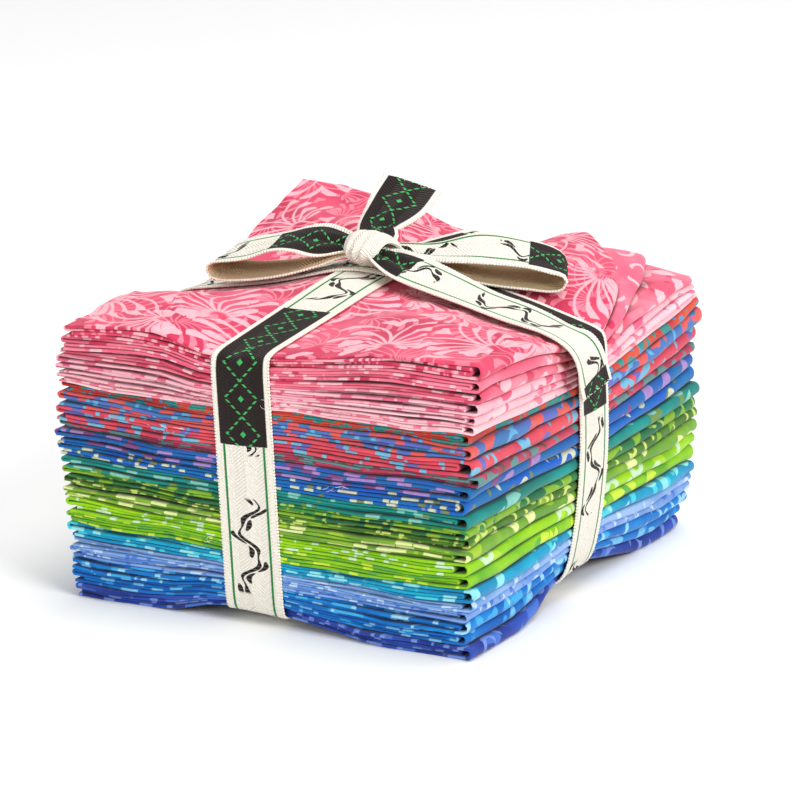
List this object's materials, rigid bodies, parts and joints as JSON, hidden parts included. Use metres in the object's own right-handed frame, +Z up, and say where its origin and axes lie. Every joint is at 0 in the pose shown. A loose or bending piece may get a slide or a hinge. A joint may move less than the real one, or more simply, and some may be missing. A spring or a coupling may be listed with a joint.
{
  "type": "fat quarter bundle",
  "caption": "Stack of folded quilting cottons, shaded from pink to blue, tied both ways with ribbon and a bow.",
  "frame": {"origin": "centre of the bounding box in X and Y, on the surface that the bundle lies on", "axes": "+Z up out of the stack, +X along the face with the lengthwise ribbon, from its left end to its right, +Y from that face to the one behind"},
  "size_m": [0.1521, 0.1588, 0.1171],
  "materials": {
    "fabric_hot_pink": "matte printed cotton",
    "fabric_deep_pink": "matte printed cotton",
    "fabric_rose": "matte printed cotton",
    "fabric_pale_rose": "matte printed cotton",
    "fabric_blush": "matte printed cotton",
    "fabric_shell_pink": "matte printed cotton",
    "fabric_orange_teal": "matte printed cotton",
    "fabric_coral_periwinkle": "matte printed cotton",
    "fabric_coral_pink": "matte printed cotton",
    "fabric_plum_grey": "matte printed cotton",
    "fabric_blue_lilac": "matte printed cotton",
    "fabric_blue_cream": "matte printed cotton",
    "fabric_teal": "matte printed cotton",
    "fabric_green": "matte printed cotton",
    "fabric_olive": "matte printed cotton",
    "fabric_olive_lime": "matte printed cotton",
    "fabric_lime": "matte printed cotton",
    "fabric_yellow_green": "matte printed cotton",
    "fabric_aqua": "matte printed cotton",
    "fabric_pale_periwinkle": "matte printed cotton",
    "fabric_periwinkle": "matte printed cotton",
    "fabric_azure": "matte printed cotton",
    "fabric_deep_azure": "matte printed cotton",
    "fabric_royal_blue": "matte printed cotton",
    "twill_ribbon": "matte cotton twill tape"
  },
  "bodies": {
    "root": {"fat_quarter_01": "fabric_hot_pink", "fat_quarter_02": "fabric_deep_pink", "fat_quarter_03": "fabric_rose", "fat_quarter_04": "fabric_pale_rose", "fat_quarter_05": "fabric_blush", "fat_quarter_06": "fabric_shell_pink", "fat_quarter_07": "fabric_orange_teal", "fat_quarter_08": "fabric_coral_periwinkle", "fat_quarter_09": "fabric_coral_pink", "fat_quarter_10": "fabric_plum_grey", "fat_quarter_11": "fabric_blue_lilac", "fat_quarter_12": "fabric_blue_cream", "fat_quarter_13": "fabric_teal", "fat_quarter_14": "fabric_green", "fat_quarter_15": "fabric_olive", "fat_quarter_16": "fabric_olive_lime", "fat_quarter_17": "fabric_lime", "fat_quarter_18": "fabric_yellow_green", "fat_quarter_19": "fabric_aqua", "fat_quarter_20": "fabric_pale_periwinkle", "fat_quarter_21": "fabric_periwinkle", "fat_quarter_22": "fabric_azure", "fat_quarter_23": "fabric_deep_azure", "fat_quarter_24": "fabric_royal_blue", "ribbon_lengthwise": "twill_ribbon", "ribbon_crosswise": "twill_ribbon", "ribbon_knot": "twill_ribbon", "bow_loop_left": "twill_ribbon", "bow_loop_right": "twill_ribbon", "ribbon_tail_back": "twill_ribbon", "ribbon_tail_front": "twill_ribbon"}
  },
  "joints": []
}
